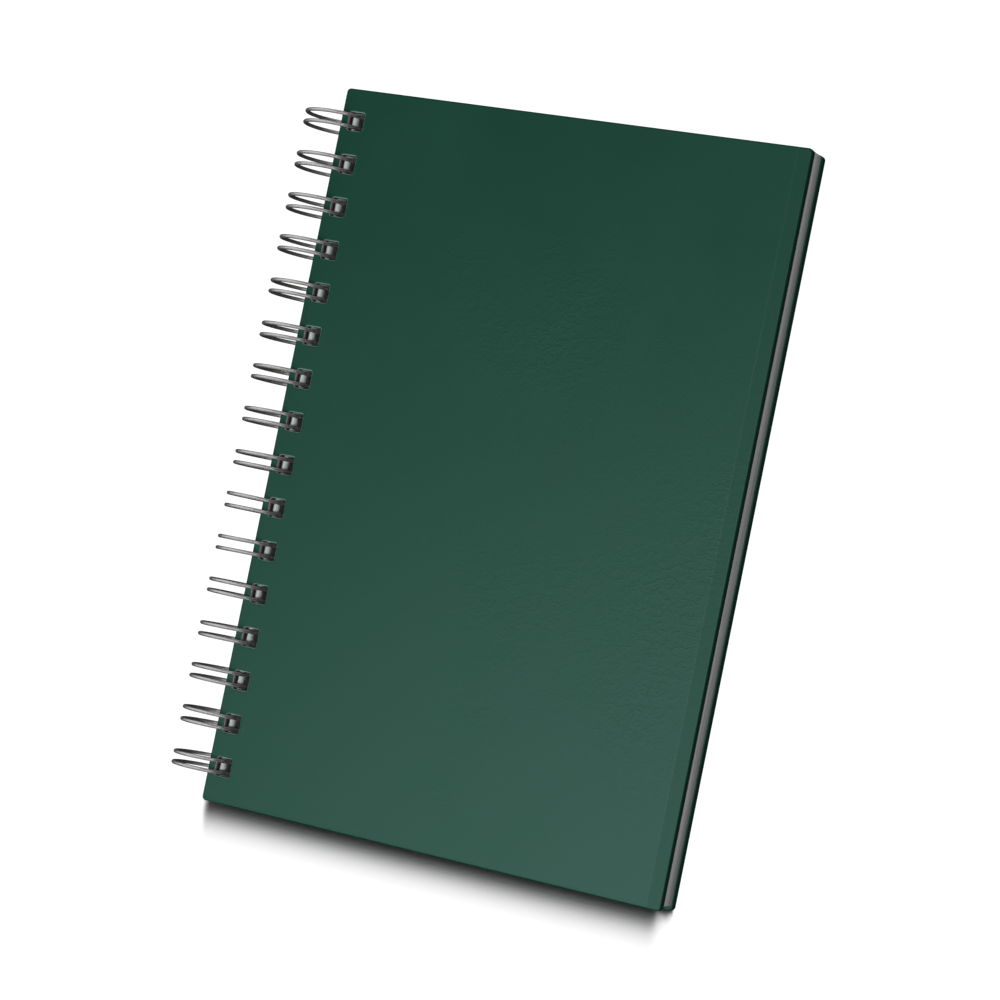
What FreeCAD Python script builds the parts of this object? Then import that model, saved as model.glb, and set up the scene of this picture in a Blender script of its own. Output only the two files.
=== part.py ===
# Hard-cover notebook of about A5 size, bound along its left side with a twin-loop wire.
# It lies closed on its back: X runs from the wire to the fore-edge, Y from tail to head,
# and Z up through the front cover. The origin is the middle of the whole footprint, on
# the surface that the loops rest on.

import FreeCAD, Part
import math
import os
import Sketcher
from FreeCAD import Placement, Rotation, Vector

doc = FreeCAD.newDocument("Notebook")

# Driving sizes in millimetres
DRIVING_SIZES = [
    ("coverWidth", 144.5, "cover from its spine edge to its fore-edge"),
    ("coverHeight", 210.5, "cover from tail to head"),
    ("coverCorner", 1.2, "radius of the four cover corners"),
    ("edgeRounding", 0.5, "radius that the covering takes round the board's edges"),
    ("boardThickness", 2.0, "stiff board in each cover"),
    ("wrapThickness", 0.4, "leather-like covering, also where it is turned in"),
    ("turnInWidth", 14.0, "how far the covering is turned in over the board"),
    ("liningThickness", 0.2, "paper lining pasted inside each cover"),
    ("liningInset", 1.5, "strip of covering left bare round the lining"),
    ("blockThickness", 6.0, "all pages pressed together"),
    ("foreRecess", 0.3, "pages set back from the cover at the fore-edge"),
    ("headRecess", 0.3, "pages set back from the cover at the head"),
    ("tailRecess", 1.3, "pages set back from the cover at the tail"),
    ("holePitch", 12.7, "hole to hole, two to the inch"),
    ("endMargin", 9.0, "least space from tail or head to the middle of an end hole"),
    ("holeInset", 2.5, "web between the spine edge and a hole"),
    ("holeLength", 5.0, "hole across the spine"),
    ("holeWidth", 5.5, "hole along the spine"),
    ("holeCorner", 0.6, "radius in the corners of a hole"),
    ("punchRounding", 0.2, "rim of a hole where the punch drew the covering in"),
    ("rowShift", 0.45, "row of holes off the middle of the cover, to the head"),
    ("wireDiameter", 1.1, "round steel wire"),
    ("sideClearance", 0.5, "loop to the side of its hole"),
    ("webClearance", 0.2, "loop to the web's outer corner"),
    ("wallClearance", 1.35, "loop to the far wall of its hole"),
    ("seamClearance", 0.15, "seam of the wire to the pages and the lining"),
    ("tipGap", 0.3, "closed tips of the loops to the bars that they meet"),
    ("endStub", 1.5, "cut end of the wire past the last elbow"),
]

sizes = doc.addObject("Spreadsheet::Sheet", "Sizes")
for row, (alias, value, meaning) in enumerate(DRIVING_SIZES, 1):
    sizes.set("A%d" % row, meaning)
    sizes.set("B%d" % row, str(value))
    sizes.setAlias("B%d" % row, alias)
doc.recompute()

# Sizes that follow from the driving ones. Faces of the layers are heights above the middle
# of the pages. The circle of the loops just clears the web's outer corner, which lies at
# (webReach, coverFace) from its centre, and passes the far wall of the hole by its clearance.
WORKED_SIZES = [
    ("pageFace", "Sizes.blockThickness / 2"),
    ("liningFace", "pageFace + Sizes.liningThickness"),
    ("turnInFace", "liningFace + Sizes.wrapThickness"),
    ("boardFace", "turnInFace + Sizes.boardThickness"),
    ("coverFace", "boardFace + Sizes.wrapThickness"),
    ("liningDip", "turnInFace - Sizes.liningThickness"),
    ("holeCount", "floor((Sizes.coverHeight - 2 * Sizes.endMargin) / Sizes.holePitch) + 1"),
    ("rowLength", "(holeCount - 1) * Sizes.holePitch"),
    ("firstHole", "(Sizes.coverHeight - rowLength) / 2 + Sizes.rowShift"),
    ("pairSpacing", "Sizes.holeWidth - Sizes.wireDiameter - 2 * Sizes.sideClearance"),
    ("elbowRadius", "(Sizes.holeWidth - pairSpacing) / 2"),
    ("holePlay", "Sizes.holeLength - Sizes.wireDiameter - Sizes.webClearance - Sizes.wallClearance"),
    ("webReach", "(coverFace * coverFace - holePlay * holePlay) / (2 * holePlay)"),
    ("loopRadius", "sqrt(webReach * webReach + coverFace * coverFace)"
                   " + Sizes.wireDiameter / 2 + Sizes.webClearance"),
    ("loopOffset", "webReach - Sizes.holeInset"),
    ("loopReach", "loopRadius + Sizes.wireDiameter / 2"),
    ("spineEdge", "(loopOffset + loopReach - Sizes.coverWidth) / 2"),
    ("seamDrop", "pageFace - Sizes.seamClearance - Sizes.wireDiameter / 2"),
    ("seamReach", "sqrt(loopRadius * loopRadius + elbowRadius * elbowRadius - seamDrop * seamDrop)"),
    ("seamOffset", "seamReach - loopOffset"),
    ("grooveHalf", "Sizes.wireDiameter / 2 + Sizes.seamClearance"),
]

worked = doc.addObject("App::VarSet", "Worked")
for name, expression in WORKED_SIZES:
    worked.addProperty("App::PropertyFloat", name)
    worked.setExpression(name, expression)
doc.recompute()


# Outlines and layers

def place(piece):
    """Puts a piece's own origin at the spine edge, the tail edge and the middle of the pages."""
    piece.setExpression(".Placement.Base.x", "Worked.spineEdge")
    piece.setExpression(".Placement.Base.y", "-Sizes.coverHeight / 2")
    piece.setExpression(".Placement.Base.z", "Worked.loopReach")


def new_body(label):
    body = doc.addObject("PartDesign::Body", label)
    body.Label = label
    place(body)
    return body


def new_sketch(body, name, level):
    """Empty sketch parallel to the covers at a height above the middle of the pages."""
    sketch = body.newObject("Sketcher::SketchObject", name)
    plane = [item for item in body.Origin.OriginFeatures if item.Role == "XY_Plane"][0]
    sketch.AttachmentSupport = [(plane, "")]
    sketch.MapMode = "FlatFace"
    sketch.setExpression(".AttachmentOffset.Base.z", level)
    return sketch


def bind(sketch, name, expression, constraint):
    """Adds a constraint under a name and binds its value to an expression."""
    index = sketch.addConstraint(constraint)
    sketch.renameConstraint(index, name)
    sketch.setExpression("Constraints." + name, expression)


def rectangle(body, name, level, left, right, bottom, top):
    """Rectangle between distances from the spine edge and from the tail edge."""
    sketch = new_sketch(body, name, level)
    corners = [Vector(1, 1, 0), Vector(9, 1, 0), Vector(9, 9, 0), Vector(1, 9, 0)]
    for side in range(4):
        sketch.addGeometry(Part.LineSegment(corners[side], corners[(side + 1) % 4]), False)
    for side in range(4):
        sketch.addConstraint(Sketcher.Constraint("Coincident", side, 2, (side + 1) % 4, 1))
        direction = "Horizontal" if side % 2 == 0 else "Vertical"
        sketch.addConstraint(Sketcher.Constraint(direction, side))
    bind(sketch, "left", left, Sketcher.Constraint("DistanceX", -1, 1, 0, 1, 1))
    bind(sketch, "right", right, Sketcher.Constraint("DistanceX", -1, 1, 0, 2, 9))
    bind(sketch, "bottom", bottom, Sketcher.Constraint("DistanceY", -1, 1, 0, 1, 1))
    bind(sketch, "top", top, Sketcher.Constraint("DistanceY", -1, 1, 2, 1, 9))
    return sketch


def inset_rectangle(body, name, level, inset):
    """Rectangle that stays the same distance inside all four edges of the cover."""
    return rectangle(body, name, level, inset, "Sizes.coverWidth - " + inset,
                     inset, "Sizes.coverHeight - " + inset)


def add_layer(body, name, sketch, thickness):
    pad = body.newObject("PartDesign::Pad", name)
    pad.Profile = sketch
    pad.setExpression("Length", thickness)
    doc.recompute()
    return pad


def cut_layer(body, name, sketch, depth):
    """Cuts from the sketch upwards."""
    pocket = body.newObject("PartDesign::Pocket", name)
    pocket.Profile = sketch
    pocket.Reversed = True
    pocket.setExpression("Length", depth)
    doc.recompute()
    return pocket


def round_edges(body, name, feature, radius, chosen):
    """Rounds the feature's edges for which chosen(edge) is true."""
    names = ["Edge%d" % number for number, edge in enumerate(feature.Shape.Edges, 1) if chosen(edge)]
    fillet = body.newObject("PartDesign::Fillet", name)
    fillet.Base = (feature, names)
    fillet.setExpression("Radius", radius)
    doc.recompute()
    return fillet


def stands_up(edge):
    return edge.BoundBox.XLength < 0.001 and edge.BoundBox.YLength < 0.001


def lies_flat(edge):
    return edge.BoundBox.ZLength < 0.001


def punch_holes(body, low, height):
    """Row of holes with rounded corners, right through the body's layers."""
    sketch = new_sketch(body, body.Label + "_hole_outline", low)
    left, right = sizes.holeInset, sizes.holeInset + sizes.holeLength
    bottom = worked.firstHole - sizes.holeWidth / 2
    top = bottom + sizes.holeWidth
    corner = sizes.holeCorner
    centres = [Vector(left + corner, bottom + corner, 0), Vector(right - corner, bottom + corner, 0),
               Vector(right - corner, top - corner, 0), Vector(left + corner, top - corner, 0)]
    up = Vector(0, 0, 1)
    for number, centre in enumerate(centres):
        start = math.pi * (1 + number / 2)
        circle = Part.Circle(centre, up, corner)
        sketch.addGeometry(Part.ArcOfCircle(circle, start, start + math.pi / 2), False)
    for number in range(4):
        here, there = sketch.Geometry[number], sketch.Geometry[(number + 1) % 4]
        sketch.addGeometry(Part.LineSegment(here.EndPoint, there.StartPoint), False)
    for number in range(4):
        line, following = 4 + number, (number + 1) % 4
        sketch.addConstraint(Sketcher.Constraint("Tangent", number, 2, line, 1))
        sketch.addConstraint(Sketcher.Constraint("Tangent", line, 2, following, 1))
        direction = "Horizontal" if number % 2 == 0 else "Vertical"
        sketch.addConstraint(Sketcher.Constraint(direction, line))
    for number in range(1, 4):
        sketch.addConstraint(Sketcher.Constraint("Equal", 0, number))
    bind(sketch, "corner", "Sizes.holeCorner", Sketcher.Constraint("Radius", 0, corner))
    bind(sketch, "left", "Sizes.holeInset", Sketcher.Constraint("DistanceX", -1, 1, 7, 1, left))
    bind(sketch, "across", "Sizes.holeLength", Sketcher.Constraint("DistanceX", 7, 1, 5, 1, right - left))
    bind(sketch, "bottom", "Worked.firstHole - Sizes.holeWidth / 2",
         Sketcher.Constraint("DistanceY", -1, 1, 4, 1, bottom))
    bind(sketch, "along", "Sizes.holeWidth", Sketcher.Constraint("DistanceY", 4, 1, 6, 1, top - bottom))
    hole = cut_layer(body, body.Label + "_hole", sketch, height)
    row = body.newObject("PartDesign::LinearPattern", body.Label + "_hole_row")
    row.Originals = [hole]
    row.Direction = (sketch, ["V_Axis"])
    row.setExpression("Length", "Worked.rowLength")
    row.setExpression("Occurrences", "Worked.holeCount")
    body.Tip = row
    doc.recompute()
    return row


# Covers, each a board in a turned-in covering with a paper lining inside

def level_between(side, near, far):
    """Lower height of a layer between two distances from the middle of the pages."""
    return near if side > 0 else "-(" + far + ")"


def cover_board(label, side):
    body = new_body(label)
    low = level_between(side, "Worked.turnInFace", "Worked.boardFace")
    outline = inset_rectangle(body, label + "_outline", low, "Sizes.wrapThickness")
    board = add_layer(body, label + "_sheet", outline, "Sizes.boardThickness")
    corner = "Sizes.coverCorner - Sizes.wrapThickness"
    round_edges(body, label + "_corners", board, corner, stands_up)
    punch_holes(body, low, "Sizes.boardThickness")
    return body


def cover_wrap(label, side):
    body = new_body(label)
    low = level_between(side, "Worked.liningFace", "Worked.coverFace")
    height = "2 * Sizes.wrapThickness + Sizes.boardThickness"
    outline = inset_rectangle(body, label + "_outline", low, "0")
    outside = add_layer(body, label + "_outside", outline, height)
    corners = round_edges(body, label + "_corners", outside, "Sizes.coverCorner", stands_up)
    round_edges(body, label + "_rims", corners, "Sizes.edgeRounding", lies_flat)
    board_low = level_between(side, "Worked.turnInFace", "Worked.boardFace")
    board = inset_rectangle(body, label + "_board_outline", board_low, "Sizes.wrapThickness")
    space = cut_layer(body, label + "_board_space", board, "Sizes.boardThickness")

    def board_corner(edge):
        return stands_up(edge) and abs(edge.Length - sizes.boardThickness) < 0.001

    corner = "Sizes.coverCorner - Sizes.wrapThickness"
    round_edges(body, label + "_board_corners", space, corner, board_corner)
    window_low = level_between(side, "Worked.liningFace", "Worked.turnInFace")
    window = inset_rectangle(body, label + "_window_outline", window_low, "Sizes.turnInWidth")
    cut_layer(body, label + "_window", window, "Sizes.wrapThickness")
    holes = punch_holes(body, low, height)

    def hole_rim(edge):
        across = sizes.holeInset - 0.001 < edge.BoundBox.XMin < edge.BoundBox.XMax
        across = across and edge.BoundBox.XMax < sizes.holeInset + sizes.holeLength + 0.001
        return lies_flat(edge) and across and abs(edge.BoundBox.ZMin - side * worked.coverFace) < 0.001

    round_edges(body, label + "_hole_rims", holes, "Sizes.punchRounding", hole_rim)
    return body


def cover_lining(label, side):
    """Sheet over the turned-in covering that dips to the board inside it."""
    body = new_body(label)
    low = level_between(side, "Worked.pageFace", "Worked.liningFace")
    outline = inset_rectangle(body, label + "_outline", low, "Sizes.liningInset")
    add_layer(body, label + "_rim", outline, "Sizes.liningThickness")
    dip_low = level_between(side, "Worked.pageFace", "Worked.turnInFace")
    dip = inset_rectangle(body, label + "_dip_outline", dip_low, "Sizes.turnInWidth")
    add_layer(body, label + "_dip", dip, "Worked.turnInFace - Worked.pageFace")
    hollow_low = level_between(side, "Worked.pageFace", "Worked.liningDip")
    inset = "(Sizes.turnInWidth + Sizes.liningThickness)"
    hollow = inset_rectangle(body, label + "_hollow_outline", hollow_low, inset)
    cut_layer(body, label + "_hollow", hollow, "Worked.liningDip - Worked.pageFace")
    punch_holes(body, low, "Sizes.liningThickness")
    return body


# Pages, one block with a groove where the seam of the wire lies against the last page

def page_block(label):
    body = new_body(label)
    low = "-Worked.pageFace"
    outline = rectangle(body, label + "_outline", low, "0", "Sizes.coverWidth - Sizes.foreRecess",
                        "Sizes.tailRecess", "Sizes.coverHeight - Sizes.headRecess")
    add_layer(body, label + "_sheets", outline, "Sizes.blockThickness")
    groove = rectangle(body, label + "_groove_outline", low, "Worked.seamOffset - Worked.grooveHalf",
                       "Worked.seamOffset + Worked.grooveHalf", "0", "Sizes.coverHeight")
    cut_layer(body, label + "_groove", groove, "Worked.pageFace - Worked.seamDrop + Worked.grooveHalf")
    punch_holes(body, low, "Sizes.blockThickness")
    return body


# Wire, bent from one length: every hole takes two loops that meet in a closed tip, and
# straight bars between the holes join one pair to the next.

def loop_point(angle, along):
    """Point on the circle of the loops, at an angle above the fore-edge side."""
    radius = worked.loopRadius
    return Vector(radius * math.cos(angle) - worked.loopOffset, along, radius * math.sin(angle))


def loop_tangent(angle):
    return Vector(-math.sin(angle), 0, math.cos(angle))


def pair_of_loops(centre, elbow_angle, tip_angle):
    """Edges of one pair, from the bar before it to the bar after it."""
    near, far = centre - worked.pairSpacing / 2, centre + worked.pairSpacing / 2
    bend = worked.elbowRadius
    along = Vector(0, 1, 0)
    rising = loop_tangent(elbow_angle)
    falling = loop_tangent(tip_angle) * -1
    middle_angle = (elbow_angle + tip_angle) / 2 + math.pi
    slant = bend * math.sqrt(0.5)
    before = loop_point(elbow_angle, near - bend)
    after = loop_point(elbow_angle, far + bend)
    return [
        Part.Arc(before + rising * bend, before + (rising + along) * slant,
                 loop_point(elbow_angle, near)).toShape(),
        Part.Arc(loop_point(elbow_angle, near), loop_point(middle_angle, near),
                 loop_point(tip_angle, near)).toShape(),
        Part.Arc(loop_point(tip_angle, near), loop_point(tip_angle, centre)
                 + falling * (worked.pairSpacing / 2), loop_point(tip_angle, far)).toShape(),
        Part.Arc(loop_point(tip_angle, far), loop_point(middle_angle, far),
                 loop_point(elbow_angle, far)).toShape(),
        Part.Arc(loop_point(elbow_angle, far), after + (rising - along) * slant,
                 after + rising * bend).toShape(),
    ]


def wire_path():
    """Middle line of the whole wire, from one cut end to the other."""
    elbow_angle = -math.asin(worked.seamDrop / math.hypot(worked.loopRadius, worked.elbowRadius))
    elbow_angle -= math.atan(worked.elbowRadius / worked.loopRadius)
    tip_outside = (worked.pairSpacing + sizes.wireDiameter) / 2
    tip_height = sizes.wireDiameter / 2 + sizes.tipGap - worked.seamDrop
    tip_angle = math.asin(tip_height / math.hypot(worked.loopRadius, tip_outside))
    tip_angle += math.atan(tip_outside / worked.loopRadius)
    stub = Vector(0, sizes.endStub, 0)
    edges = []
    for number in range(int(worked.holeCount)):
        pair = pair_of_loops(worked.firstHole + number * sizes.holePitch, elbow_angle, tip_angle)
        start = pair[0].valueAt(pair[0].FirstParameter)
        previous = edges[-1].valueAt(edges[-1].LastParameter) if edges else start - stub
        edges += [Part.LineSegment(previous, start).toShape()] + pair
    end = edges[-1].valueAt(edges[-1].LastParameter)
    edges.append(Part.LineSegment(end, end + stub).toShape())
    return Part.Wire(edges)


def wire_binding(label):
    path = doc.addObject("Part::Feature", "wire_middle_line")
    path.Shape = wire_path()
    place(path)
    section = doc.addObject("Part::Circle", "wire_section")
    section.setExpression("Radius", "Sizes.wireDiameter / 2")
    doc.recompute()
    first_bar = path.Shape.Edges[0]
    start = first_bar.valueAt(first_bar.FirstParameter)
    section.Placement = Placement(start, Rotation(Vector(0, 0, 1), Vector(0, 1, 0)))
    wire = doc.addObject("Part::Sweep", label)
    wire.Label = label
    wire.Sections = [section]
    wire.Spine = (path, ["Edge%d" % number for number in range(1, len(path.Shape.Edges) + 1)])
    wire.Solid = True
    wire.Frenet = False
    doc.recompute()
    return wire


pieces = [
    cover_wrap("front_cover_wrap", 1),
    cover_board("front_cover_board", 1),
    cover_lining("front_lining", 1),
    page_block("page_block"),
    cover_lining("back_lining", -1),
    cover_board("back_cover_board", -1),
    cover_wrap("back_cover_wrap", -1),
    wire_binding("wire_binding"),
]
doc.recompute()

for item in doc.Objects:
    if "Invalid" in item.State or "Error" in item.State:
        raise RuntimeError(item.Name + " failed: " + ", ".join(item.State))

os.makedirs("parts", exist_ok=True)
for piece in pieces:
    shape = piece.Shape
    if shape.isNull() or not shape.isValid() or not shape.Solids:
        raise RuntimeError(piece.Label + " has no valid solid")
    shape.exportStep("parts/" + piece.Label + ".step")
    box = shape.BoundBox
    print("%s: %d solid, %.1f mm3, x %.2f to %.2f, y %.2f to %.2f, z %.2f to %.2f" % (
        piece.Label, len(shape.Solids), shape.Volume,
        box.XMin, box.XMax, box.YMin, box.YMax, box.ZMin, box.ZMax))
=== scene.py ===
# Hard-cover notebook of about A5 size on a twin-loop wire, lying closed on a pale table.
# Lengths are metres in the model's own frame: +X to the fore-edge, +Y to the head, +Z up.
import math
import bpy
import numpy as np
from mathutils import Matrix, Vector


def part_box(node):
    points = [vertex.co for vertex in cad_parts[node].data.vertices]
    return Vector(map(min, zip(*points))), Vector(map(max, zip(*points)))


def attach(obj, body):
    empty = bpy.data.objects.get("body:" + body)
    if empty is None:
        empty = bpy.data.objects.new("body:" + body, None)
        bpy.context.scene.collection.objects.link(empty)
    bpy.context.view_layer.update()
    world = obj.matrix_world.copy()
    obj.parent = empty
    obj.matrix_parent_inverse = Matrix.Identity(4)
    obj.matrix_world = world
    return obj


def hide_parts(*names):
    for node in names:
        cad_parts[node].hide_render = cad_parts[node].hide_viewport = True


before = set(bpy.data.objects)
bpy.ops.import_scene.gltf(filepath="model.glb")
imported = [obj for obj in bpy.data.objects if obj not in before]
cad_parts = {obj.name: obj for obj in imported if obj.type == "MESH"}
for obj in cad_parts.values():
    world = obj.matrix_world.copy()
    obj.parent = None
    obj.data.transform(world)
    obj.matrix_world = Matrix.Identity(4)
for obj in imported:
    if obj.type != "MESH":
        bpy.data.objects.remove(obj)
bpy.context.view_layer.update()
mm = 0.001
farOff = 1.0    # metres, past anything on the notebook
print("frame loaded")

# where the photographer stood, worked out from the edges of the cover
cameraView = {
    "place": (0.36704, -0.02956, 0.80108),
    "target": (0.00876, -0.00430, 0.01613),
    "roll": 11.49,          # degrees that the right side of the picture is turned up to the head
    "lens": 111.16,         # millimetres on the sensor below
    "sensor": 36.0,
}


def makeCamera(view):
    # right is square to the view and to the head direction, then rolled about the view
    place = Vector(view["place"])
    forward = (Vector(view["target"]) - place).normalized()
    level = forward.cross(Vector((0, 1, 0))).normalized()
    upright = level.cross(forward)
    turn = math.radians(view["roll"])
    right = level * math.cos(turn) + upright * math.sin(turn)
    up = upright * math.cos(turn) - level * math.sin(turn)
    data = bpy.data.cameras.new("photoCamera")
    data.lens = view["lens"]
    data.sensor_width = view["sensor"]
    data.clip_start = 0.05
    data.clip_end = 50
    camera = bpy.data.objects.new("photoCamera", data)
    turned = Matrix((right, up, -forward)).transposed().to_4x4()
    camera.matrix_world = Matrix.Translation(place) @ turned
    bpy.context.scene.collection.objects.link(camera)
    bpy.context.scene.camera = camera


makeCamera(cameraView)
print("camera placed")


# shader maths: a Signal wraps one socket, and arithmetic on Signals adds Math nodes
class Signal:
    def __init__(self, shader, socket):
        self.shader = shader
        self.socket = socket

    def maths(self, operation, *values):
        return self.shader.node("ShaderNodeMath", {"operation": operation}, values)

    def __add__(self, other):
        return self.maths("ADD", self, other)

    def __sub__(self, other):
        return self.maths("SUBTRACT", self, other)

    def __rsub__(self, other):
        return self.maths("SUBTRACT", other, self)

    def __mul__(self, other):
        return self.maths("MULTIPLY", self, other)

    def __abs__(self):
        return self.maths("ABSOLUTE", self)

    def least(self, other):
        return self.maths("MINIMUM", self, other)

    def most(self, other):
        return self.maths("MAXIMUM", self, other)

    def power(self, other):
        return self.maths("POWER", self, other)

    def fold(self, other):
        # rises to other, falls back to 0, and so on
        return self.maths("PINGPONG", self, other)

    def wave(self):
        return self.maths("SINE", self)

    __radd__, __rmul__ = __add__, __mul__


class Shader:
    def __init__(self, owner):
        owner.use_nodes = True
        self.owner = owner
        self.tree = owner.node_tree
        self.tree.nodes.clear()

    def node(self, kind, settings=None, inputs=(), output=0):
        # settings come first, then the values or links, by socket name or number
        made = self.tree.nodes.new(kind)
        for name, value in (settings or {}).items():
            if name == "stops":
                self.setStops(made.color_ramp.elements, value)
            else:
                setattr(made, name, value)
        for key, value in (inputs.items() if isinstance(inputs, dict) else enumerate(inputs)):
            if isinstance(value, Signal):
                self.tree.links.new(value.socket, made.inputs[key])
            else:
                made.inputs[key].default_value = value
        return Signal(self, made.outputs[output]) if made.outputs else None

    def setStops(self, elements, stops):
        while len(elements) < len(stops):
            elements.new(1)
        for element, (place, shade) in zip(elements, stops):
            element.position = place
            element.color = (shade, shade, shade, 1)

    def place(self):
        # point on the piece, in the model's own frame
        return self.node("ShaderNodeTexCoord", output="Object")

    def parts(self, point):
        # the three coordinates of a point
        split = self.node("ShaderNodeSeparateXYZ", inputs=[point]).socket.node
        return [Signal(self, part) for part in split.outputs]

    def stretched(self, vector, scale):
        return self.node("ShaderNodeMapping", inputs={"Vector": vector, "Scale": scale})

    def noise(self, vector, scale, detail=2.0, roughness=0.5):
        inputs = {"Vector": vector, "Scale": scale, "Detail": detail, "Roughness": roughness}
        return self.node("ShaderNodeTexNoise", inputs=inputs)

    def cells(self, vector, scale):
        inputs = {"Vector": vector, "Scale": scale}
        return self.node("ShaderNodeTexVoronoi", {"feature": "F1"}, inputs, "Distance")

    def ramp(self, value, *stops):
        return self.node("ShaderNodeValToRGB", {"stops": stops}, [value])

    def step(self, value, low, high, start=0.0, end=1.0, kind="SMOOTHSTEP"):
        # start up to low, end from high on, and a step of this kind between them
        bounds = [value, low, high, start, end]
        return self.node("ShaderNodeMapRange", {"interpolation_type": kind}, bounds)

    def between(self, value, low, high, soft):
        # 1 from low to high, easing to 0 over the width soft outside them
        return self.step(value, low - soft, low) * self.step(value, high, high + soft, 1.0, 0.0)

    def fromHole(self, x, y):
        # distance from the outline of the nearest punched hole, less than 0 inside it
        row = holeRow
        middle = spineEdge + row["inset"] + row["across"] / 2
        across = abs(x - middle) - (row["across"] / 2 - row["corner"])
        up = y - row["first"]
        inRow = up.most(0.0).least(row["pitch"] * (row["count"] - 1))
        fromMiddle = inRow.fold(row["pitch"] / 2) + abs(up - inRow)
        along = fromMiddle - (row["along"] / 2 - row["corner"])
        beyond = (across.most(0.0).power(2.0) + along.most(0.0).power(2.0)).power(0.5)
        return beyond + across.most(along).least(0.0) - row["corner"]

    def mix(self, factor, first, second):
        # sockets 0, 6 and 7 take the factor and the two colours, and output 2 is their mix
        return self.node("ShaderNodeMix", {"data_type": "RGBA"}, {0: factor, 6: first, 7: second}, 2)

    def bump(self, height, depth, before=None):
        inputs = {"Height": height, "Strength": 1.0, "Distance": depth}
        if before:
            inputs["Normal"] = before
        return self.node("ShaderNodeBump", inputs=inputs)

    def surface(self, colour, roughness, normal, constants):
        # what varies is linked, and the constants are set on the shader's own sockets
        inputs = {**constants, "Base Color": colour, "Roughness": roughness, "Normal": normal}
        finish = self.node("ShaderNodeBsdfPrincipled", inputs=inputs)
        self.node("ShaderNodeOutputMaterial", inputs={"Surface": finish})
        return self.owner


# the row of holes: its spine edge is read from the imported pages, the rest is how it is punched
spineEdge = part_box("page_block")[0].x
holeRow = {
    "count": 16,
    "pitch": 12.7 * mm,
    "first": -94.8 * mm,        # middle of the hole nearest the tail
    "inset": 2.5 * mm,          # web between the spine edge and a hole
    "across": 5.0 * mm,
    "along": 5.5 * mm,
    "corner": 0.6 * mm,
}
holeCentres = holeRow["first"] + holeRow["pitch"] * np.arange(holeRow["count"])


# leather-like covering of both covers
coveringLook = {
    "deepGreen": (0.0063, 0.0505, 0.0290, 1),
    "paleGreen": (0.0086, 0.0672, 0.0392, 1),
    "cloudTone": 0.9,           # how far each pattern moves the green from deep to pale
    "fineTone": 0.25,
    "pebbleTone": 0.2,
    # painted shade: the creases are drawn this much deeper green
    "creaseShade": 0.12,
    "roughness": 0.41,
    "cloudRoughness": 0.10,
    "grainScale": 1500,         # pebbles in a metre
    "grainDepth": 0.012 * mm,
    "cloudScale": 28,
    "creaseScale": 210,
    "creaseStretch": (1.0, 1.6, 1.0),
    "creasePinch": 12,          # narrows the creases to lines
    "creaseDepth": 0.020 * mm,
    "patchScale": 21,           # the creases show in patches
    "patchStops": ((0.53, 0.0), (0.70, 1.0)),
    "foreStrip": 4.4 * mm,      # strip along the fore-edge, pressed down a little
    "stripEase": 0.5 * mm,
    "stripDepth": 0.060 * mm,
    "stripPaintedShade": 0.07,         # painted shade: how much darker it is drawn there, for the sheen its tilt loses
    "stripRoughness": 0.05,     # and how much rougher
    "backingAndGlint": (0.480, 0.640, 0.580, 1),    # underside of the sheet, bare on the holes' cut edges; the pale rim round each hole is a painted highlight
    "rimWidth": 0.10 * mm,
    "rimEase": 0.10 * mm,
    "rimWearAndGlint": 0.35,            # how pale the rims are at least, partly bare underside, partly painted highlight
    "rimCloud": 0.8,            # and how much more where the clouds are pale
    "rollWidth": 0.45 * mm,     # the sheet rolls down into the holes over this width
    "rollDepth": 0.16 * mm,
}


def coveringMaterial(look):
    # pebbled grain, slow clouds, patches of fine creases drawn darker as painted shade, the pressed strip
    # at the fore-edge drawn darker as painted shade, and pale hole rims as a painted highlight
    shader = Shader(bpy.data.materials.new("greenCovering"))
    place = shader.place()
    x, y = shader.parts(place)[:2]
    cloud = shader.noise(place, look["cloudScale"], 3.0, 0.6)
    pebble = shader.cells(place, look["grainScale"])
    fine = shader.noise(place, look["grainScale"] * 3, 2.0, 0.6)
    crease = shader.noise(shader.stretched(place, look["creaseStretch"]), look["creaseScale"], 3.0, 0.55)
    ridge = shader.ramp(abs(crease - 0.5) * look["creasePinch"], (0.0, 1.0), (0.5, 0.25), (1.0, 0.0))
    patch = shader.ramp(shader.noise(place, look["patchScale"], 2.0, 0.5), *look["patchStops"])
    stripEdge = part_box("front_cover_wrap")[1].x - look["foreStrip"]
    strip = shader.step(x, stripEdge, stripEdge + look["stripEase"])
    tone = cloud * look["cloudTone"] + fine * look["fineTone"] + pebble * look["pebbleTone"]
    # painted shade along the creases
    tone = tone - ridge * patch * look["creaseShade"]
    green = shader.mix(tone, look["deepGreen"], look["paleGreen"])
    # painted shade: the pressed strip is drawn darker for the sheen it loses
    shaded = shader.mix(strip * look["stripPaintedShade"], green, (0, 0, 0, 1))
    gap = shader.fromHole(x, y)
    # the holes' cut edges show the bare underside; the pale rim beside them is a painted highlight
    bareAndGlint = shader.between(gap, -farOff, look["rimWidth"], look["rimEase"])
    colour = shader.mix(bareAndGlint * (look["rimWearAndGlint"] + cloud * look["rimCloud"]), shaded, look["backingAndGlint"])
    roughness = look["roughness"] + (cloud - 0.5) * look["cloudRoughness"]
    roughness = roughness + strip * look["stripRoughness"]
    grain = shader.bump(fine * 0.5 - pebble, look["grainDepth"])
    creased = shader.bump(ridge * patch, look["creaseDepth"], grain)
    pressed = shader.bump(1 - strip, look["stripDepth"], creased)
    roll = shader.step(gap, 0.0, look["rollWidth"], kind="SMOOTHERSTEP")
    rolled = shader.bump(roll, look["rollDepth"], pressed)
    return shader.surface(colour, roughness, rolled, {"Specular IOR Level": 0.5})


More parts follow.
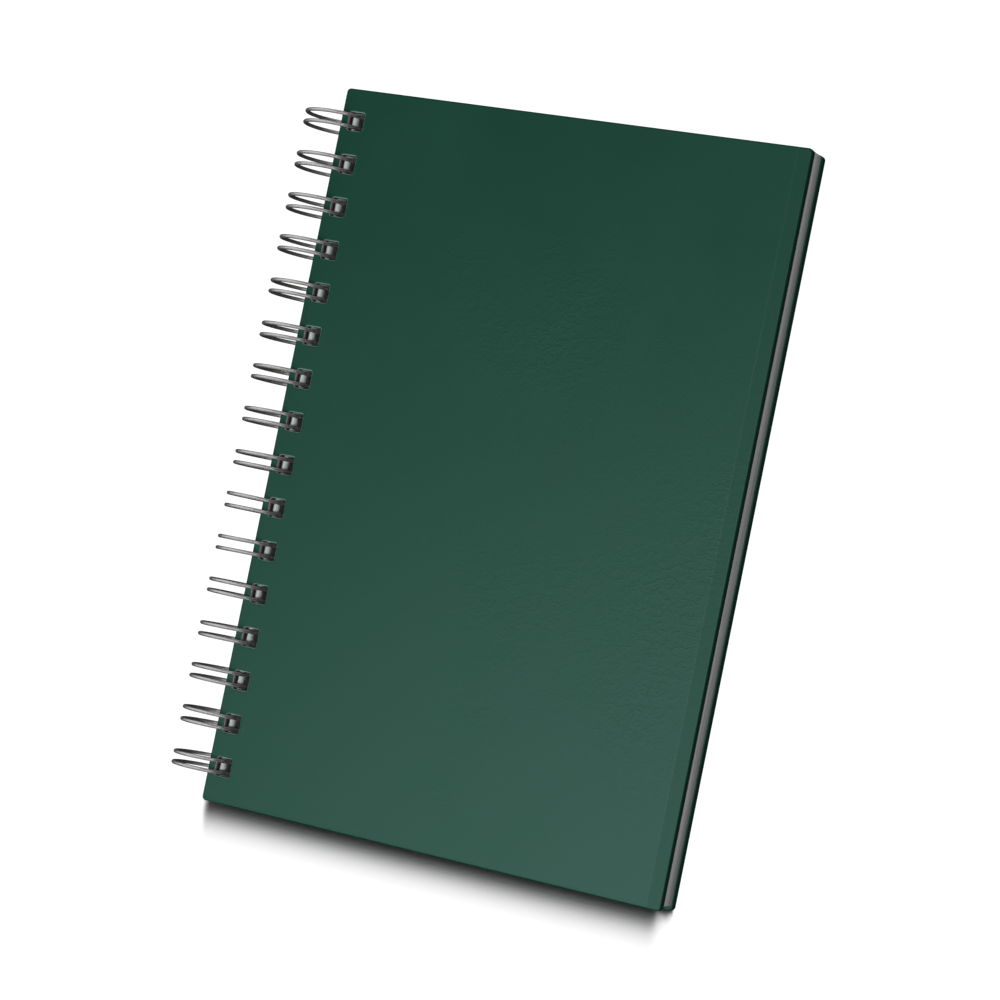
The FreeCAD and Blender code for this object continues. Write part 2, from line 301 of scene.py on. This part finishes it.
# raw board, seen in the walls of the punched holes
boardLook = {
    "dark": (0.165, 0.022, 0.070, 1),
    "pale": (0.300, 0.050, 0.140, 1),
    "paintedShade": (0.012, 0.010, 0.014, 1),   # painted shade: near black on the lining's side of the board, for the shade under the cover inside the holes
    "paintedShadeDepth": 1.25 * mm,
    "paintedShadeStray": 0.2 * mm,      # the painted shade's edge wanders and fades by this much
    "plies": 5200,              # pulp layers in a metre of thickness
    "plyStretch": (0.08, 0.08, 1.0),
    "fibreScale": 3600,
    "pulpDepth": 0.06 * mm,
    "roughness": 0.9,
    "fibreRoughness": -0.1,
}


def boardMaterial(look):
    # pulp in thin layers, with loose fibres, and painted shade on the lining's side
    shader = Shader(bpy.data.materials.new("plumBoard"))
    place = shader.place()
    z = shader.parts(place)[2]
    layers = shader.noise(shader.stretched(place, look["plyStretch"]), look["plies"], 2.0, 0.6)
    fibres = shader.noise(place, look["fibreScale"], 3.0, 0.65)
    pulp = shader.mix(layers * 0.6 + fibres * 0.4, look["dark"], look["pale"])
    under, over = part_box("back_cover_board")[1].z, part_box("front_cover_board")[0].z
    fromLining = abs(z - (under + over) / 2) - (over - under) / 2
    wandering = fromLining + layers * look["paintedShadeStray"]
    # painted shade: the board is drawn near black this far from its lining side
    paintedShadeBand = shader.between(wandering, -farOff, look["paintedShadeDepth"], look["paintedShadeStray"])
    colour = shader.mix(paintedShadeBand, pulp, look["paintedShade"])
    roughness = look["roughness"] + fibres * look["fibreRoughness"]
    rough = shader.bump(layers * 0.5 + fibres, look["pulpDepth"])
    return shader.surface(colour, roughness, rough, {"Specular IOR Level": 0.2})


# paper pasted inside each cover
liningLook = {
    "shade": (0.640, 0.650, 0.630, 1),
    "light": (0.740, 0.750, 0.735, 1),
    "roughness": 0.82,
    "fibreRoughness": 0.1,
    "fibreScale": 1500,
    "fibreStretch": (1.0, 0.45, 1.0),
    "fibreDepth": 0.010 * mm,
    "cloudScale": 60,
    "mitreReach": 14 * mm,      # the covering is folded in this far under the lining
    "mitreEase": 0.5 * mm,
    "mitreHalf": 0.15 * mm,     # half the groove where the folded ends meet
    "mitreSoft": 0.35 * mm,
    "mitreDepth": 0.10 * mm,
}


def liningMaterial(look):
    # smooth paper over the mitred corners of the folded covering
    shader = Shader(bpy.data.materials.new("liningPaper"))
    place = shader.place()
    x, y = shader.parts(place)[:2]
    low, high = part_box("front_cover_wrap")
    fromSide = (high.x - x).least(x - low.x)
    fromEnd = (high.y - y).least(y - low.y)
    slant = shader.between(abs(fromSide - fromEnd), -farOff, look["mitreHalf"], look["mitreSoft"])
    mitre = slant * shader.between(fromSide, -farOff, look["mitreReach"], look["mitreEase"])
    fibres = shader.noise(shader.stretched(place, look["fibreStretch"]), look["fibreScale"], 4.0, 0.6)
    cloud = shader.noise(place, look["cloudScale"], 2.0, 0.5)
    colour = shader.mix(fibres * 0.5 + cloud * 0.5, look["shade"], look["light"])
    roughness = look["roughness"] + fibres * look["fibreRoughness"]
    rough = shader.bump(fibres, look["fibreDepth"])
    folded = shader.bump(1 - mitre, look["mitreDepth"], rough)
    return shader.surface(colour, roughness, folded, {"Specular IOR Level": 0.3})


# shapes: planes of points worked out as whole arrays, joined into one mesh
def newPiece(name, points, faces, material, body, node, smooth):
    # faces is a list of index arrays, each with one row for a face
    mesh = bpy.data.meshes.new(name)
    corners = np.concatenate([part.ravel() for part in faces])
    counts = np.concatenate([np.full(len(part), part.shape[1]) for part in faces])
    mesh.vertices.add(len(points))
    mesh.vertices.foreach_set("co", points.astype(np.float32).ravel())
    mesh.loops.add(len(corners))
    mesh.loops.foreach_set("vertex_index", corners.astype(np.int32))
    mesh.polygons.add(len(counts))
    mesh.polygons.foreach_set("loop_start", (np.cumsum(counts) - counts).astype(np.int32))
    mesh.update(calc_edges=True)
    mesh.validate()
    mesh.polygons.foreach_set("use_smooth", np.full(len(counts), smooth))
    mesh.materials.append(material)
    piece = bpy.data.objects.new(name, mesh)
    bpy.context.scene.collection.objects.link(piece)
    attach(piece, body)
    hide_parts(node)
    return piece


# twin-loop wire, on the circle and in the holes of the frame's own wire
wireLook = {
    "diameter": 1.1 * mm,
    "loopRadius": 9.5846 * mm,
    "axisX": -69.175 * mm,
    "axisZ": 10.1346 * mm,
    "spacing": 3.4 * mm,        # between the two loops of a pair
    "elbowRadius": 1.05 * mm,
    "elbowAngle": -20.05,       # degrees, where the loops turn into the bars
    "tipAngle": 4.74,           # degrees, where the two loops meet
    "tipStray": 0.8,            # degrees that the tips are off by, either way
    "stub": 1.5 * mm,
    "sides": 16,
    "loopSteps": 60,
    "bendSteps": 8,
    "lean": 0.24 * mm,          # loops lean this much to either side
    "slip": 0.14 * mm,          # pairs sit this much off the middle of their holes
    "seed": 11,
    "dark": (0.400, 0.390, 0.390, 1),
    "light": (0.560, 0.550, 0.548, 1),
    "metallic": 0.80,
    "roughness": 0.27,
    "drawnScale": 9000,         # drawing lines, long along the wire
    "drawnStretch": (1.0, 0.02, 1.0),
    "drawnRoughness": 0.12,
    "drawnDepth": 0.004 * mm,
    "dullScale": 420,
    "dullRoughness": 0.16,
}


def wireMiddle(look):
    # circle point at an angle: axis + radius * (cos, sin); elbows and tips are arcs square to it
    random = np.random.default_rng(look["seed"])
    pairs = holeRow["count"]
    slip = random.uniform(-1, 1, (pairs, 1)) * look["slip"]
    lean = random.uniform(-1, 1, (2, pairs, 1)) * look["lean"]
    elbow = np.full((pairs, 1), math.radians(look["elbowAngle"]))
    stray = look["tipStray"]
    tip = np.radians(look["tipAngle"] + random.uniform(-stray, stray, (pairs, 1)))
    bend = look["elbowRadius"]
    half = look["spacing"] / 2
    centre = holeCentres[:, None] + slip
    turn = np.linspace(0, math.pi / 2, look["bendSteps"])[None, :]
    sweep = np.linspace(0, 1, look["loopSteps"])[None, :]
    bow = np.linspace(0, math.pi, 2 * look["bendSteps"])[None, :]
    around = elbow + (tip - 2 * math.pi - elbow) * sweep
    swing = (1 - np.cos(2 * math.pi * sweep)) / 2

    def spot(angle, along, rise):
        # angle on the circle, place along Y, and how far the point has left the circle's tangent
        x = look["axisX"] + look["loopRadius"] * np.cos(angle) - rise * np.sin(angle)
        z = look["axisZ"] + look["loopRadius"] * np.sin(angle) + rise * np.cos(angle)
        angle, along = np.broadcast_arrays(angle + 0 * x, along + 0 * x)
        return np.stack([x, along, z, angle], axis=-1)

    stretches = [
        spot(elbow, centre - half - bend + bend * np.sin(turn), bend * np.cos(turn)),
        spot(around, centre - half + lean[0] * swing, 0)[:, 1:],
        spot(tip, centre - half * np.cos(bow), -half * np.sin(bow))[:, 1:-1],
        spot(around[:, ::-1], centre + half + lean[1] * swing, 0),
        spot(elbow, centre + half + bend - bend * np.cos(turn), bend * np.sin(turn))[:, 1:],
    ]
    middle = np.concatenate(stretches, axis=1).reshape(-1, 4)
    stub = np.array([0, look["stub"], 0, 0])
    return np.concatenate([middle[:1] - stub, middle, middle[-1:] + stub])


def wirePiece(look, material):
    # a circle carried along the middle line, turned to stay square to it and to the loops' axis
    middle = wireMiddle(look)
    points, angle = middle[:, :3], middle[:, 3]
    tangent = np.gradient(points, axis=0)
    tangent /= np.linalg.norm(tangent, axis=1, keepdims=True)
    outward = np.stack([np.cos(angle), 0 * angle, np.sin(angle)], axis=1)
    outward -= tangent * np.sum(outward * tangent, axis=1, keepdims=True)
    outward /= np.linalg.norm(outward, axis=1, keepdims=True)
    across = np.cross(tangent, outward)
    sides = look["sides"]
    turn = 2 * math.pi * np.arange(sides)[None, :, None] / sides
    ring = np.cos(turn) * outward[:, None] + np.sin(turn) * across[:, None]
    shell = points[:, None] + ring * look["diameter"] / 2
    steps = len(points)
    index = np.arange(steps * sides).reshape(steps, sides)
    after = np.roll(index, -1, axis=1)
    walls = np.stack([index[:-1], after[:-1], after[1:], index[1:]], axis=-1).reshape(-1, 4)
    ends = [index[0][None, ::-1], index[-1][None, :]]
    piece = newPiece("wireLoops", shell.reshape(-1, 3), [walls] + ends, material,
                     "bound_pages", "wire_binding", True)
    # map of the wire's own surface in metres: round it and along it
    length = np.concatenate([[0], np.cumsum(np.linalg.norm(np.diff(points, axis=0), axis=1))])
    round0 = np.arange(sides) * math.pi * look["diameter"] / sides
    round1 = round0 + math.pi * look["diameter"] / sides
    first, second = np.meshgrid(length[:-1], round0, indexing="ij")
    later, further = np.meshgrid(length[1:], round1, indexing="ij")
    corners = np.stack([second, first, further, first, further, later, second, later], axis=-1)
    sheet = np.zeros((len(piece.data.loops), 2))
    sheet[:walls.size] = corners.reshape(-1, 2)
    piece.data.uv_layers.new(name="alongWire").data.foreach_set("uv", sheet.astype(np.float32).ravel())
    return piece


def wireMaterial(look):
    # dark nickel plating with drawing lines along the wire and a few dull patches
    shader = Shader(bpy.data.materials.new("darkNickel"))
    along = shader.node("ShaderNodeUVMap", {"uv_map": "alongWire"})
    drawn = shader.noise(shader.stretched(along, look["drawnStretch"]), look["drawnScale"], 3.0, 0.6)
    dull = shader.noise(shader.place(), look["dullScale"], 3.0, 0.6)
    colour = shader.mix(drawn * 0.5 + dull * 0.5, look["dark"], look["light"])
    roughness = look["roughness"] + (drawn - 0.5) * look["drawnRoughness"]
    roughness = roughness + (dull - 0.5) * look["dullRoughness"]
    lines = shader.bump(drawn, look["drawnDepth"])
    return shader.surface(colour, roughness, lines, {"Metallic": look["metallic"]})


# pages, as separate sheets that don't quite line up
pagesLook = {
    "sheets": 60,
    "air": 0.010 * mm,          # gap from sheet to sheet
    "cellWidth": 10 * mm,       # strip beside the spine that is divided round the holes
    "seamMiddle": 5.379 * mm,   # bars of the wire under the last sheets, from the spine edge
    "seamLift": 1.4 * mm,
    "seamHalf": 0.75 * mm,
    "seamEase": 1.1 * mm,
    "stray": 0.13 * mm,         # sheets stand back from the block's faces by up to this
    "drift": 0.10 * mm,         # and groups of sheets by this much more
    "pull": 0.55 * mm,          # the first sheets hang back from the holes by up to this
    "pullSheets": 0.22,         # share of the sheets that do
    "seed": 5,
    "paper": (0.800, 0.805, 0.785, 1),
    "paperShade": (0.730, 0.735, 0.715, 1),
    # painted shade: the cut edges are drawn grey, between these two
    "edgeShadeDeep": (0.150, 0.142, 0.144, 1),
    "edgeShadeLight": (0.350, 0.318, 0.326, 1),
    "line": (0.500, 0.540, 0.560, 1),
    "linePitch": 7.0 * mm,
    "lineWidth": 0.22 * mm,
    "lineSoftness": 0.35,
    "spineMargin": 14 * mm,     # the ruled field stops this far from the edges of the page
    "foreMargin": 8 * mm,
    "tailMargin": 12 * mm,
    "headMargin": 20 * mm,
    "marginEase": 0.1 * mm,
    "faceDepth": 0.02 * mm,     # what lies this near the top is the first page's face
    "cutDepth": 0.30 * mm,      # what lies this near the fore-edge, tail or head is a cut edge
    "cutEase": 0.02 * mm,
    "roughness": 0.85,
    "fibreRoughness": 0.1,
    "fibreScale": 1700,
    "fibreStretch": (1.0, 0.5, 1.0),
    "fibreDepth": 0.008 * mm,
    "cloudScale": 45,
    "sheetScale": 2600,         # paler and darker from sheet to sheet, in the painted shade of the cut edges
    "sheetStretch": (0.012, 0.012, 1.0),
    "sheetTone": 0.45,
    "bandScale": 330,           # and over groups of sheets
    "bandStretch": (0.02, 0.02, 1.0),
    "bandTone": 0.4,
    "risePaintedLight": 0.42,           # painted light: the upper sheets are drawn paler by this much
    "streakStops": ((0.46, 0.0), (0.78, 1.0)),
}


def sheetPlan(look):
    # around each hole, quads reach from its outline to a cell of the strip; the rest are grids
    low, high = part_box("page_block")
    left, right = holeRow["inset"], holeRow["inset"] + holeRow["across"]
    rise, corner = holeRow["along"] / 2, holeRow["corner"]
    nook = corner * (1 - math.sqrt(0.5))    # a hole's corner is one point, the middle of its arc
    edge, step = look["cellWidth"], holeRow["pitch"] / 2
    seam, half = look["seamMiddle"], look["seamHalf"]
    xs = np.array([left + corner, seam - 2 * half, seam - half, seam + half, right - corner])
    ys = np.array([corner - rise, rise - corner])
    inner = np.concatenate([
        [[left + nook, nook - rise]], np.stack([xs, 0 * xs - rise], 1),
        [[right - nook, nook - rise]], np.stack([0 * ys + right, ys], 1),
        [[right - nook, rise - nook]], np.stack([xs[::-1], 0 * xs + rise], 1),
        [[left + nook, rise - nook]], np.stack([0 * ys + left, ys[::-1]], 1)])
    outer = np.concatenate([
        [[0, -step]], np.stack([xs, 0 * xs - step], 1),
        [[edge, -step]], np.stack([0 * ys + edge, ys], 1),
        [[edge, step]], np.stack([xs[::-1], 0 * xs + step], 1),
        [[0, step]], np.stack([0 * ys, ys[::-1]], 1)])
    ringSize = len(inner)
    shift = np.stack([0 * holeCentres + spineEdge, holeCentres], 1)[:, None]
    rings = np.stack([inner, outer])[:, None] + shift
    index = np.arange(rings.size // 2).reshape(2, -1, ringSize)
    after = np.roll(index, -1, axis=2)
    cells = np.stack([index[0], index[1], after[1], after[0]], axis=-1).reshape(-1, 4)

    def grid(columns, rows, start):
        # points at every column and row, numbered on from start, and the quads between them
        points = np.stack(np.meshgrid(columns, rows, indexing="ij"), axis=-1)
        number = start + np.arange(len(columns) * len(rows)).reshape(len(columns), len(rows))
        quads = np.stack([number[:-1, :-1], number[1:, :-1], number[1:, 1:], number[:-1, 1:]], axis=-1)
        return points.reshape(-1, 2), quads.reshape(-1, 4)

    stripX = spineEdge + np.concatenate([[0], xs, [edge]])
    cellY = (holeCentres[:, None] + np.array([-step, ys[0], ys[1], step])).ravel()
    rows = np.unique(np.round(np.concatenate([[low.y], cellY, [high.y]]), 8))
    parts, faces, start = [rings.reshape(-1, 2)], [cells], rings.size // 2
    for columns, lines in ((stripX, rows[:2]), (stripX, rows[-2:]),
                           (np.array([spineEdge + edge, high.x]), rows)):
        points, quads = grid(columns, lines, start)
        parts.append(points)
        faces.append(quads)
        start += len(points)
    whole = np.round(np.concatenate(parts), 8)
    plan, number = np.unique(whole, axis=0, return_inverse=True)
    return plan, number.ravel()[np.concatenate(faces)]


def openEdges(quads):
    # sides of the faces that no other face shares, in their own direction
    sides = np.stack([quads, np.roll(quads, -1, axis=1)], axis=-1).reshape(-1, 2)
    either = np.sort(sides, axis=1)
    number, times = np.unique(either, axis=0, return_inverse=True, return_counts=True)[1:]
    return sides[times[number.ravel()] == 1]


def pageStack(look, material):
    # sheet k is the plan between heights k and k+1; under the first ones the seam lifts them:
    # height = low + thickness * share + lift * (1 - share), lift a smooth hump across the spine
    low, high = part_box("page_block")
    plan, quads = sheetPlan(look)
    rim = openEdges(quads)
    count = look["sheets"]
    random = np.random.default_rng(look["seed"])
    waves = np.cumsum(random.normal(0, 1, (4, count)), axis=1)
    waves = (waves - waves.min(1, keepdims=True)) / np.ptp(waves, axis=1)[:, None]
    back = random.uniform(0, look["stray"], (4, count)) + waves * look["drift"]
    share = np.arange(count + 1)[:, None] / count
    away = np.abs(plan[:, 0] - spineEdge - look["seamMiddle"]) - look["seamHalf"]
    fall = np.clip(away / look["seamEase"], 0, 1)
    hump = look["seamLift"] * (1 - fall * fall * (3 - 2 * fall))
    heights = low.z + (high.z - low.z) * share + hump[None] * (1 - share)
    x, y = plan[:, 0][None], plan[:, 1][None]
    atEdge = [np.isclose(x, plan[:, 0].min()), np.isclose(x, plan[:, 0].max()),
              np.isclose(y, plan[:, 1].min()), np.isclose(y, plan[:, 1].max())]
    x = x + back[0][:, None] * 0.5 * atEdge[0] - back[1][:, None] * atEdge[1]
    y = y + back[2][:, None] * atEdge[2] - back[3][:, None] * atEdge[3]
    under = np.stack([x, y, heights[:-1]], axis=-1)
    over = np.stack([x, y, heights[1:] - look["air"]], axis=-1)
    over[-1, :, 2] += look["air"]
    # near the cover, the spine side of each hole lies back to the spine, its corner points too
    holeSide = spineEdge + holeRow["inset"]
    pulled = np.isclose(plan[:, 0], holeSide, atol=holeRow["corner"] / 3)[None] & ~atEdge[0]
    nearCover = np.clip((share[:-1] - 1 + look["pullSheets"]) / look["pullSheets"], 0, 1)
    under[..., 0] -= pulled * nearCover * look["pull"]
    over[..., 0] -= pulled * nearCover * look["pull"]
    points = np.stack([under, over], axis=1).reshape(-1, 3)
    size = len(plan)
    offset = (np.arange(count) * 2 * size)[:, None, None]
    top = (quads + size)[None] + offset
    bottom = quads[None, :, ::-1] + offset
    walls = np.stack([rim[:, 0], rim[:, 1], rim[:, 1] + size, rim[:, 0] + size], axis=-1)[None] + offset
    faces = [part.reshape(-1, 4) for part in (top, bottom, walls)]
    return newPiece("pageStack", points, faces, material, "bound_pages", "page_block", False)


def pagesMaterial(look):
    # white paper with pale ruled lines on the top sheet; the cut edges are painted grey as shade, sheet
    # by sheet, and paler towards the top as painted light
    shader = Shader(bpy.data.materials.new("pagesPaper"))
    low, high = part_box("page_block")
    place = shader.place()
    x, y, z = shader.parts(place)
    fibres = shader.noise(shader.stretched(place, look["fibreStretch"]), look["fibreScale"], 4.0, 0.6)
    cloud = shader.noise(place, look["cloudScale"], 2.0, 0.5)
    paper = shader.mix(fibres * 0.5 + cloud * 0.5, look["paperShade"], look["paper"])
    phase = y * (2 * math.pi / look["linePitch"])
    sharp = math.cos(math.pi * look["lineWidth"] / look["linePitch"])
    ruled = shader.step(phase.wave(), sharp, 1.0, kind="LINEAR")
    wide = shader.between(x, low.x + look["spineMargin"], high.x - look["foreMargin"], look["marginEase"])
    tall = shader.between(y, low.y + look["tailMargin"], high.y - look["headMargin"], look["marginEase"])
    face = shader.between(z, high.z - look["faceDepth"], farOff, look["faceDepth"] / 2)
    drawn = ruled.power(look["lineSoftness"]) * (wide * tall) * face
    printed = shader.mix(drawn, paper, look["line"])
    sheets = shader.noise(shader.stretched(place, look["sheetStretch"]), look["sheetScale"], 2.0, 0.6)
    bands = shader.noise(shader.stretched(place, look["bandStretch"]), look["bandScale"], 1.0, 0.5)
    # painted light: the cut edges are drawn paler towards the top sheet
    paintedRise = (z - low.z) * (look["risePaintedLight"] / (high.z - low.z))
    streak = sheets * look["sheetTone"] + bands * look["bandTone"] + paintedRise
    # painted shade: the cut edges take a grey of their own in place of the paper's white
    cut = shader.mix(shader.ramp(streak, *look["streakStops"]), look["edgeShadeDeep"], look["edgeShadeLight"])
    depth, ease = look["cutDepth"], look["cutEase"]
    atFore = 1 - shader.between(x, -farOff, high.x - depth, ease)
    atEnds = 1 - shader.between(y, low.y + depth, high.y - depth, ease)
    colour = shader.mix(atFore.most(atEnds), printed, cut)
    roughness = look["roughness"] + fibres * look["fibreRoughness"]
    rough = shader.bump(fibres, look["fibreDepth"])
    return shader.surface(colour, roughness, rough, {"Specular IOR Level": 0.25})


covering = coveringMaterial(coveringLook)
board = boardMaterial(boardLook)
lining = liningMaterial(liningLook)
for side in ("front", "back"):
    for node, finish in ((side + "_cover_wrap", covering), (side + "_cover_board", board),
                         (side + "_lining", lining)):
        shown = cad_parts[node]
        shown.data.materials.clear()
        shown.data.materials.append(finish)
print("covers finished")

wire = wirePiece(wireLook, wireMaterial(wireLook))
print("wire made")

pages = pageStack(pagesLook, pagesMaterial(pagesLook))
print("pages made")


# white table and studio light
studio = {
    "tableSize": 12.0,
    "tableWhite": (0.90, 0.90, 0.90, 1),
    "tableRoughness": 0.86,
    "grainRoughness": 0.06,
    "grainScale": 90,
    "grainDepth": 0.02 * mm,
    "backdrop": 1.0,            # what the camera sees past the table
    "ambient": 0.022,           # weak light from all round
    "sunSpread": 4.0,           # degrees
    "sunDistance": 100.0,
    "sunSide": 0.56,            # the suns stand over the fore-edge by this much of their height
    "sunTurn": 0.20,            # and by this much less for each height that they stand to the head
    "suns": {0.13: 0.02, 0.20: 0.06, 0.28: 0.12, 0.36: 0.17, 0.44: 0.17, 0.52: 0.16, 0.62: 0.14,
             0.74: 0.10, 0.90: 0.06},       # how far to the head they stand, and their shares
    "sunTotal": 1.06,           # brightness of the open table
    "boxes": {
        "sheenBox": {"place": (0.069, -0.271, 0.919), "size": (1.20, 0.74), "power": 7.7,
                     "colour": (0.66, 1.0, 0.965), "reach": "covers"},
        "pageBox": {"place": (0.069, -0.271, 0.919), "size": (1.20, 0.74), "power": 0.8,
                    "colour": (1.0, 1.0, 1.0), "reach": "inside"},
        "spineWall": {"place": (-2.40, 0.00, 0.35), "size": (4.00, 1.20), "power": 12.0,
                      "colour": (1.0, 1.0, 1.0), "reach": "all"},
        "headWall": {"place": (0.00, 2.40, 0.65), "size": (4.00, 1.60), "power": 20.0,
                     "colour": (1.0, 1.0, 1.0), "reach": "all"},
        "tailWall": {"place": (0.00, -2.40, 0.65), "size": (4.00, 1.60), "power": 20.0,
                     "colour": (1.0, 1.0, 1.0), "reach": "all"},
        "sideBox": {"place": (1.15, -0.20, 1.33), "size": (0.28, 0.34), "power": 21.0,
                    "colour": (0.90, 1.0, 0.98), "reach": "inside"},
        "wireBox": {"place": (0.50, -0.15, 1.25), "size": (0.90, 1.30), "power": 5.8,
                    "colour": (1.0, 1.0, 1.0), "reach": "wire"},
        "wireSky": {"place": (-0.90, 0.20, 1.10), "size": (2.20, 2.60), "power": 20.0,
                    "colour": (1.0, 1.0, 1.0), "reach": "wire"},
        "wireFloor": {"place": (-0.78, 0.00, 0.003), "size": (1.20, 2.20), "power": 7.5,
                      "colour": (1.0, 1.0, 1.0), "reach": "wire", "back": (0, 0, -1)},
        "wireHead": {"place": (-0.10, 1.30, 0.42), "size": (2.00, 0.80), "power": 4.4,
                     "colour": (1.0, 1.0, 1.0), "reach": "wire"},
        "wireTail": {"place": (-0.10, -1.30, 0.42), "size": (2.00, 0.80), "power": 4.4,
                     "colour": (1.0, 1.0, 1.0), "reach": "wire"},
    },
}


def makeTable(look):
    half = look["tableSize"] / 2
    corners = [(-half, -half, 0), (half, -half, 0), (half, half, 0), (-half, half, 0)]
    shader = Shader(bpy.data.materials.new("tableTop"))
    grain = shader.noise(shader.place(), look["grainScale"], 2.0, 0.5)
    roughness = look["tableRoughness"] + grain * look["grainRoughness"]
    rough = shader.bump(grain, look["grainDepth"])
    finish = shader.surface(look["tableWhite"], roughness, rough, {"Specular IOR Level": 0.1})
    mesh = bpy.data.meshes.new("table")
    mesh.from_pydata(corners, [], [(0, 1, 2, 3)])
    mesh.materials.append(finish)
    table = bpy.data.objects.new("table", mesh)
    table.visible_diffuse = False       # the bright table throws no light back on the notebook
    table.visible_glossy = False
    bpy.context.scene.collection.objects.link(table)
    return table


def makeLight(name, kind, place, power, colour=(1, 1, 1), back=None):
    # a light shines at the middle of the cover, or away from the direction of its back
    data = bpy.data.lights.new(name, kind)
    data.energy = power
    data.color = colour
    light = bpy.data.objects.new(name, data)
    behind = Vector(back) if back else Vector(place) - Vector(cameraView["target"])
    turned = behind.to_track_quat("Z", "Y").to_matrix().to_4x4()
    light.matrix_world = Matrix.Translation(Vector(place)) @ turned
    bpy.context.scene.collection.objects.link(light)
    return light


def lightOnly(light, things, shading=()):
    # the light falls on the things only, and just those of shading throw a shadow in it
    group = bpy.data.collections.new(light.name + "Reach")
    for thing in things:
        group.objects.link(thing)
    light.light_linking.receiver_collection = group
    if shading:
        casters = bpy.data.collections.new(light.name + "Shading")
        for thing in shading:
            casters.objects.link(thing)
        light.light_linking.blocker_collection = casters


def makeWorld(look):
    shader = Shader(bpy.data.worlds.new("studioAir"))
    seen = shader.node("ShaderNodeLightPath", output="Is Camera Ray")
    level = seen * (look["backdrop"] - look["ambient"]) + look["ambient"]
    air = shader.node("ShaderNodeBackground", inputs={"Color": (1, 1, 1, 1), "Strength": level})
    shader.node("ShaderNodeOutputWorld", inputs={"Surface": air})
    bpy.context.scene.world = shader.owner


table = makeTable(studio)
wraps = [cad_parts[side + "_cover_wrap"] for side in ("front", "back")]
inside = [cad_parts[side + part]
          for side in ("front", "back") for part in ("_cover_board", "_lining")]
bound = wraps + inside + [pages]
reach = {"covers": wraps, "inside": inside + [pages], "wire": [wire], "all": bound}
for toHead, share in studio["suns"].items():
    # a sun's power for a share of the table's brightness: share * pi / (white * height)
    aside = studio["sunSide"] - studio["sunTurn"] * toHead
    towards = Vector((aside, toHead, 1)).normalized()
    power = studio["sunTotal"] * share * math.pi / (studio["tableWhite"][0] * towards.z)
    sun = makeLight("tableSun", "SUN", towards * studio["sunDistance"], power)
    sun.data.angle = math.radians(studio["sunSpread"])
    lightOnly(sun, [table], bound)      # the wire throws no shadow on the table
for name, box in studio["boxes"].items():
    light = makeLight(name, "AREA", box["place"], box["power"], box["colour"], box.get("back"))
    light.visible_camera = False
    light.visible_glossy = not name.endswith("Wall")    # the walls lighten, but don't shine
    light.data.shape = "RECTANGLE"
    light.data.size, light.data.size_y = box["size"]
    lightOnly(light, reach[box["reach"]])
makeWorld(studio)
bpy.context.scene.view_settings.view_transform = "Standard"
print("table and light placed")
